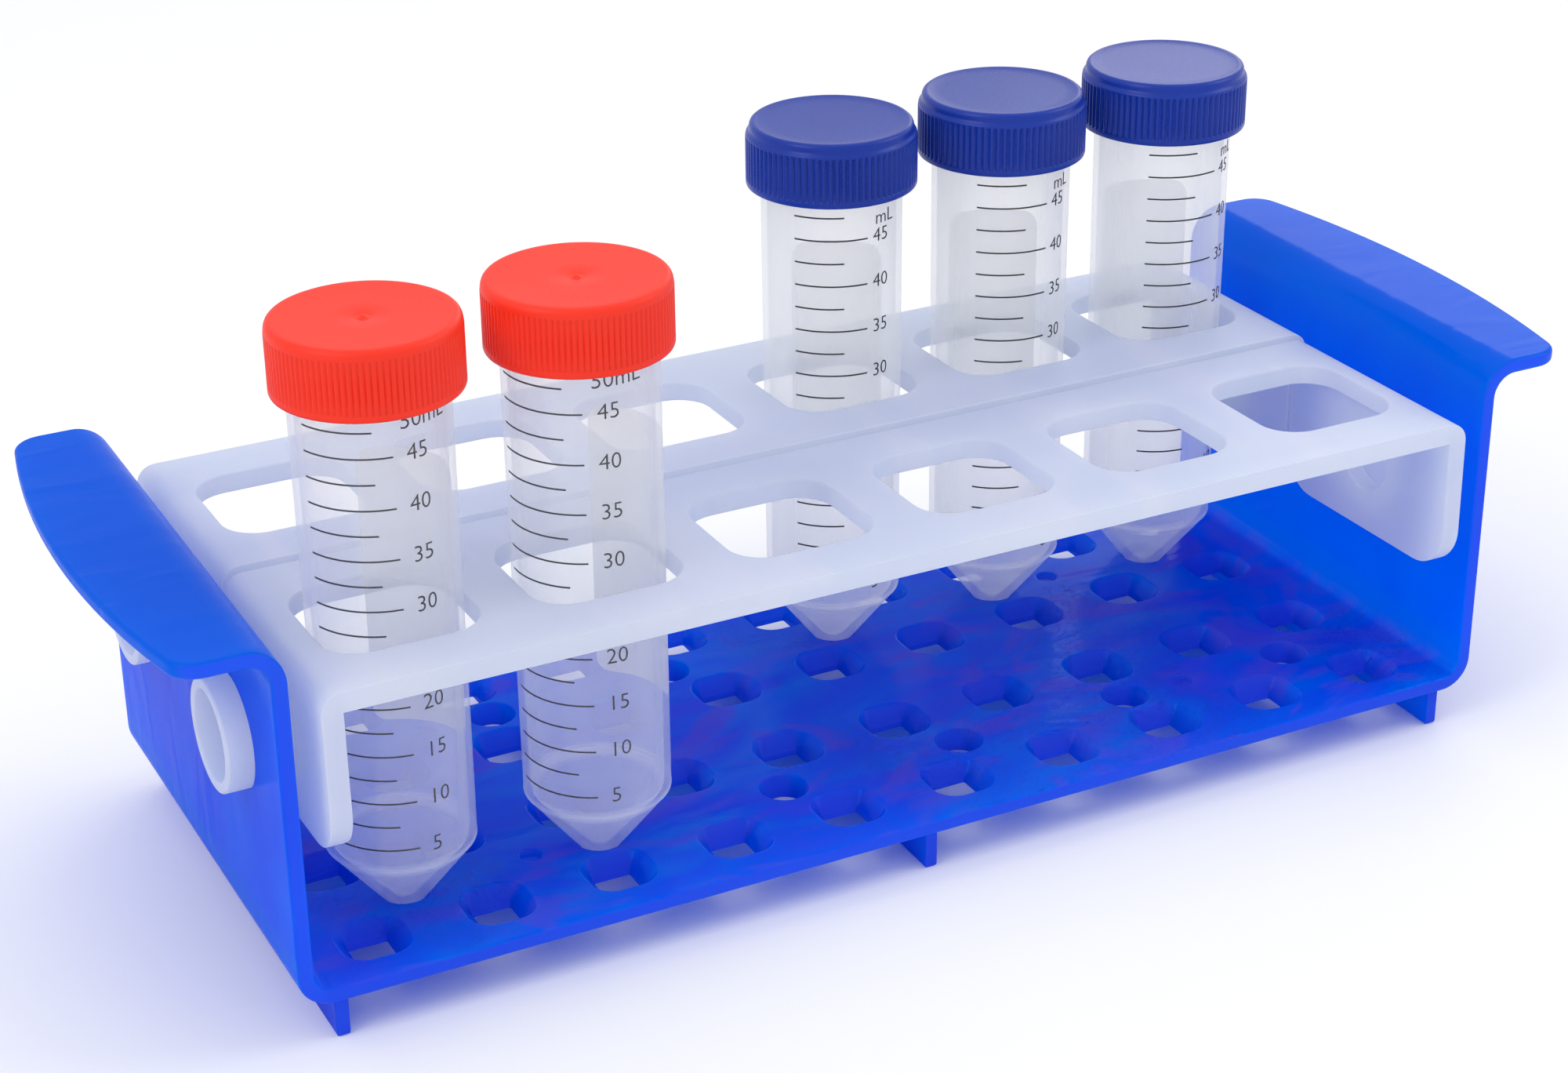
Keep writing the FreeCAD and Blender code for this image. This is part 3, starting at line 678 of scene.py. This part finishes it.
def cap_piece(name, centre, bottom_z, radius, height, style):
    """A hollow cap with a ribbed skirt: red ones have a round shoulder and a gate mark, blue ones
    a raised disc. Six points make a rib, and the wave says how far each stands out."""
    if style == "red":
        depth, rib_top = 0.34, height - 1.8
        wave = [0.0, 0.55, 1.0, 1.0, 1.0, 0.55]
        top = [(radius - 0.10, height - 1.55), (radius - 0.20, height - 1.0),
               (radius - 0.38, height - 0.55), (radius - 0.68, height - 0.2),
               (radius - 1.05, height - 0.03), (radius - 1.5, height),
               (radius - 2.2, height - 0.04), (radius - 6.5, height - 0.14),
               (6.0, height - 0.2), (2.4, height - 0.24), (1.6, height - 0.5),
               (1.0, height - 0.6), (0.6, height - 0.3), (0.3, height - 0.05), (0, height)]
    else:
        depth, rib_top = 0.5, height - 2.7
        wave = [0.0, 0.0, 0.7, 1.0, 1.0, 0.7]
        disc = radius - 0.75
        top = [(radius - 0.15, height - 2.45), (radius - 0.32, height - 2.15),
               (disc + 0.05, height - 1.85), (disc - 0.01, height - 1.4),
               (disc - 0.06, height - 0.8), (disc - 0.25, height - 0.35),
               (disc - 0.6, height - 0.06), (disc - 0.95, height),
               (disc - 1.35, height - 0.06), (disc - 1.9, height - 0.16),
               (disc - 4.0, height - 0.26), (4.0, height - 0.3), (0, height - 0.3)]
    valley, swell = radius - depth, depth - 0.03
    rim = [(CAP_BORE + 0.35, 0.0), (radius - 0.45, 0.0), (radius - 0.12, 0.12),
           (radius - 0.02, 0.4), (radius - 0.02, 1.1), (radius - 0.08, 1.3)]
    ribbed = [(valley, z, swell) for z in (1.5, 4.0, 7.0, rib_top - 0.3)]
    roof = height - CAP_ROOF
    cavity = [(0, roof), (6.0, roof), (CAP_BORE - 0.8, roof), (CAP_BORE - 0.2, roof - 0.25),
              (CAP_BORE, roof - 0.9), (CAP_BORE, 0.5)]
    profile = rim + ribbed + [(radius - 0.10, rib_top)] + top + cavity
    bm = lathe(profile, RIBS[style] * len(wave), wave)
    bmesh.ops.translate(bm, verts=bm.verts[:], vec=(*centre, bottom_z))
    return finish_mesh(bm, name + "_shell", sharp=CAP_SHARP, weighted=False)


# ---------------------------------------------------------------- printing

GLYPHS = {}
DIGIT_HEIGHT = 0.70             # of Blender's own font at size 1
INK_OUT, INK_IN = 0.05, -0.04   # the ink's faces, from the barrel's surface
WRAP_STEP = 0.6                 # widest flat strip of something wrapped round the barrel
LINE_WIDTH, NUMBER_RAISE = 0.30, 0.35
FIRST_VOLUME, VOLUME_STEP, LINES = 5.0, 2.5, 18
FIRST_LINE, PER_ML = 18.9, 1.935
PATCH_WIDTH, PATCH_FOOT, PATCH_TOP, PATCH_CORNER = 20.5, 30.4, 86.0, 3.0
PATCH_TURN = 206                # degrees from the start of the scale


def glyph(text, height):
    """Points and faces of a line of text, with its left end and the middle of its digits at 0."""
    if text not in GLYPHS:
        curve = bpy.data.curves.new("glyph", "FONT")
        curve.body = text
        curve.size = 1.0
        curve.resolution_u = 3
        curve.offset = -0.012
        carrier = bpy.data.objects.new("glyph", curve)
        bpy.context.scene.collection.objects.link(carrier)
        bpy.context.view_layer.update()
        evaluated = carrier.evaluated_get(bpy.context.evaluated_depsgraph_get())
        mesh = bpy.data.meshes.new_from_object(evaluated)
        points = [(v.co.x / DIGIT_HEIGHT, v.co.y / DIGIT_HEIGHT - 0.5) for v in mesh.vertices]
        faces = [tuple(p.vertices) for p in mesh.polygons]
        bpy.data.objects.remove(carrier)
        bpy.data.curves.remove(curve)
        bpy.data.meshes.remove(mesh)
        GLYPHS[text] = (points, faces)
    points, faces = GLYPHS[text]
    return [(x * height, y * height) for x, y in points], faces


def wrap(bm, points, faces, angle, height):
    """Put flat points (x round the tube, y up) on the barrel as a thin raised solid."""
    flat = bmesh.new()
    verts = [flat.verts.new((x, y, 0)) for x, y in points]
    for f in faces:
        flat.faces.new([verts[i] for i in f])
    low = min(x for x, _ in points)
    high = max(x for x, _ in points)
    count = max(1, int((high - low) / WRAP_STEP))
    for k in range(1, count):
        geometry = flat.verts[:] + flat.edges[:] + flat.faces[:]
        bmesh.ops.bisect_plane(flat, geom=geometry, dist=1e-5, plane_no=(1, 0, 0),
                               plane_co=(low + (high - low) * k / count, 0, 0))
    made = {}
    for lift in (INK_IN, INK_OUT):
        for v in flat.verts:
            z = height + v.co.y
            r = surface_radius(z) + lift
            a = angle + v.co.x / surface_radius(z)
            made[v, lift] = bm.verts.new((r * math.cos(a), r * math.sin(a), z))
    for f in flat.faces:
        bm.faces.new([made[v, INK_OUT] for v in f.verts])
        bm.faces.new([made[v, INK_IN] for v in reversed(f.verts)])
    for e in flat.edges:
        if len(e.link_faces) == 1:
            a, b = e.verts
            bm.faces.new((made[a, INK_OUT], made[b, INK_OUT], made[b, INK_IN], made[a, INK_IN]))
    flat.free()


def scale_height(volume):
    """Height of a graduation above the tip."""
    return FIRST_LINE + (volume - FIRST_VOLUME) * PER_ML


def printing(name, centre, tip_z, view, marks):
    """Graduation lines and numbers. Their angles are in degrees from the side named by view."""
    bm = bmesh.new()
    numbers = view + math.radians(marks["numbers"])
    for step in range(LINES):
        volume = FIRST_VOLUME + VOLUME_STEP * step
        end = marks["long"] if step % 2 == 0 else marks["short"]
        z = scale_height(volume)
        span = math.radians(end - marks["start"]) * surface_radius(z)
        half = LINE_WIDTH / 2
        line = [(0, -half), (span, -half), (span, half), (0, half)]
        wrap(bm, line, [(0, 1, 2, 3)], view + math.radians(marks["start"]), z)
        if step % 2 == 0:
            points, faces = glyph(str(int(volume)), marks["size"])
            wrap(bm, points, faces, numbers, z + NUMBER_RAISE)
    points, faces = glyph(marks["unit"], marks["size"])
    wrap(bm, points, faces, numbers + math.radians(marks["unit_turn"]),
         scale_height(marks["unit_at"]) + NUMBER_RAISE)
    bmesh.ops.translate(bm, verts=bm.verts[:], vec=(*centre, tip_z))
    return finish_mesh(bm, name + "_printing", weighted=False)


def patch(name, centre, tip_z, middle):
    """A write-on patch: a thin matt coat on the side away from the scale."""
    bm = bmesh.new()
    points = rounded_rectangle(PATCH_WIDTH / 2, (PATCH_TOP - PATCH_FOOT) / 2, PATCH_CORNER, 6)
    wrap(bm, points, [tuple(range(len(points)))], middle, (PATCH_FOOT + PATCH_TOP) / 2)
    bmesh.ops.translate(bm, verts=bm.verts[:], vec=(*centre, tip_z))
    return finish_mesh(bm, name + "_patch", weighted=False)


# ---------------------------------------------------------------- assembly

# The camera's place in millimetres. The scales face it, each from its own tube.
CAMERA_AT = Vector((-258.3, -498.7, FLOOR_TOP + 311.4))
AZIMUTH, ELEVATION, ROLL = math.radians(-26.88), math.radians(25.91), math.radians(-0.60)
SENSOR, LENS = 36.0, 71.334

# Angles are in degrees: start and ends of a scale's lines, left end of its numbers, and the turn
# of its unit from them. The unit's place is a volume, and the digits' size is in millimetres.
RED = dict(unit="50mL", unit_turn=-4, unit_at=48.1, size=3.1)
BLUE = dict(unit="mL", unit_turn=2, unit_at=46.9, size=2.9)
MARKS = {
    "front_tube_1": dict(RED, start=-54, long=13.5, short=0, numbers=23),
    "front_tube_2": dict(RED, start=-71, long=0, short=-14, numbers=10),
    "rear_tube_4": dict(BLUE, start=-31, long=30, short=10, numbers=35),
    "rear_tube_5": dict(BLUE, start=-19, long=42, short=22, numbers=47),
    "rear_tube_6": dict(BLUE, start=-9.5, long=52, short=32, numbers=58),
}

materials = {
    "frame_blue": blue_plastic(),
    "tray_natural": milky_plastic(),
    "tube_clear": tube_plastic("tube_clear", 0.10, 0.32, (0.90, 0.92, 0.98), 0.16),
    "tube_frosted": tube_plastic("tube_frosted", 0.16, 0.28, (0.96, 0.97, 0.98), 0.26),
    "cap_red": cap_plastic("cap_red", (0.90, 0.036, 0.014), (0.85, 0.030, 0.012),
                           0.36, 1500.0, 0.05),
    "cap_blue": cap_plastic("cap_blue", (0.006, 0.034, 0.32), (0.005, 0.028, 0.28),
                            0.22, 2200.0, 0.12),
}
black_ink, grey_ink, paint = ink("black_ink", 0.012), ink("grey_ink", 0.035), patch_paint()


def put(obj, body, slot, nodes=(), material=None):
    """Give a piece the slot's material, or the one given, and its body, and hide the CAD nodes
    that it stands for.
    """
    obj.data.materials.append(material or materials[slot])
    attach(obj, body)
    if nodes:
        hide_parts(*nodes)


put(frame_piece(), "frame", "frame_blue", ["frame"])
for tray, row in (("front_tray", -LARGE_ROW), ("rear_tray", LARGE_ROW)):
    put(tray_piece(tray, row, -TRAY_TILT), tray, "tray_natural", [tray])
for tube, marks in MARKS.items():
    style, slot, print_ink = "blue", "tube_frosted", black_ink
    if tube.startswith("front"):
        style, slot, print_ink = "red", "tube_clear", grey_ink
    low, high = mm_box(tube)
    centre = ((low.x + high.x) / 2, (low.y + high.y) / 2)
    view = math.atan2(CAMERA_AT.y - centre[1], CAMERA_AT.x - centre[0])
    put(tube_piece(tube, centre, low.z, high.z - low.z), tube, slot, [tube])
    put(printing(tube, centre, low.z, view, marks), tube, slot, material=print_ink)
    put(patch(tube, centre, low.z, view + math.radians(marks["start"] + PATCH_TURN)),
        tube, slot, material=paint)
    cap = tube + "_cap"
    low, high = mm_box(cap)
    put(cap_piece(cap, centre, low.z, (high.x - low.x) / 2, high.z - low.z, style),
        cap, "cap_" + style, [cap])


# ---------------------------------------------------------------- floor, light, camera

LIGHT_TARGET = Vector((0, 0, 0.05))


def floor():
    """The pale ground that the rack stands on."""
    bm = bmesh.new()
    bmesh.ops.create_grid(bm, x_segments=8, y_segments=8, size=4000)
    obj = finish_mesh(bm, "floor", weighted=False)
    n = Nodes("floor_pale")
    skin = n.new("BsdfPrincipled", Base__Color=(0.90, 0.90, 0.91, 1), Roughness=0.9)
    obj.data.materials.append(n.finish(skin))


def area_light(name, at, size, power):
    """A soft light in metres and watts that looks at the rack."""
    light = bpy.data.lights.new(name, "AREA")
    light.shape = "RECTANGLE"
    light.size, light.size_y = size
    light.energy = power
    obj = bpy.data.objects.new(name, light)
    bpy.context.scene.collection.objects.link(obj)
    obj.location = at
    obj.rotation_euler = (LIGHT_TARGET - Vector(at)).to_track_quat("-Z", "Y").to_euler()


floor()
world = bpy.data.worlds.new("studio")
bpy.context.scene.world = world
world.use_nodes = True
background = world.node_tree.nodes["Background"]
background.inputs["Color"].default_value = (0.97, 0.98, 1.0, 1)
background.inputs["Strength"].default_value = 0.90
area_light("key", (-0.95, -0.25, 0.85), (0.5, 0.6), 3.2)
area_light("fill", (0.95, -0.35, 0.75), (0.5, 0.6), 2.4)
area_light("top", (0.05, 0.15, 1.15), (1.1, 0.7), 1.6)
area_light("back", (1.05, 1.05, 0.62), (0.6, 0.4), 1.2)

camera_data = bpy.data.cameras.new("camera")
camera_data.sensor_width = SENSOR
camera_data.lens = LENS
camera_data.clip_start, camera_data.clip_end = 0.01, 50
camera = bpy.data.objects.new("camera", camera_data)
bpy.context.scene.collection.objects.link(camera)
backward = Vector((math.sin(AZIMUTH) * math.cos(ELEVATION),
                   -math.cos(AZIMUTH) * math.cos(ELEVATION), math.sin(ELEVATION)))
level = (-backward).cross(Vector((0, 0, 1))).normalized()
upright = level.cross(-backward)
right = level * math.cos(ROLL) + upright * math.sin(ROLL)
up = upright * math.cos(ROLL) - level * math.sin(ROLL)
turn = Matrix((right, up, backward)).transposed().to_4x4()
camera.matrix_world = Matrix.Translation(CAMERA_AT * MM) @ turn
bpy.context.scene.camera = camera
bpy.context.scene.view_settings.view_transform = "Standard"
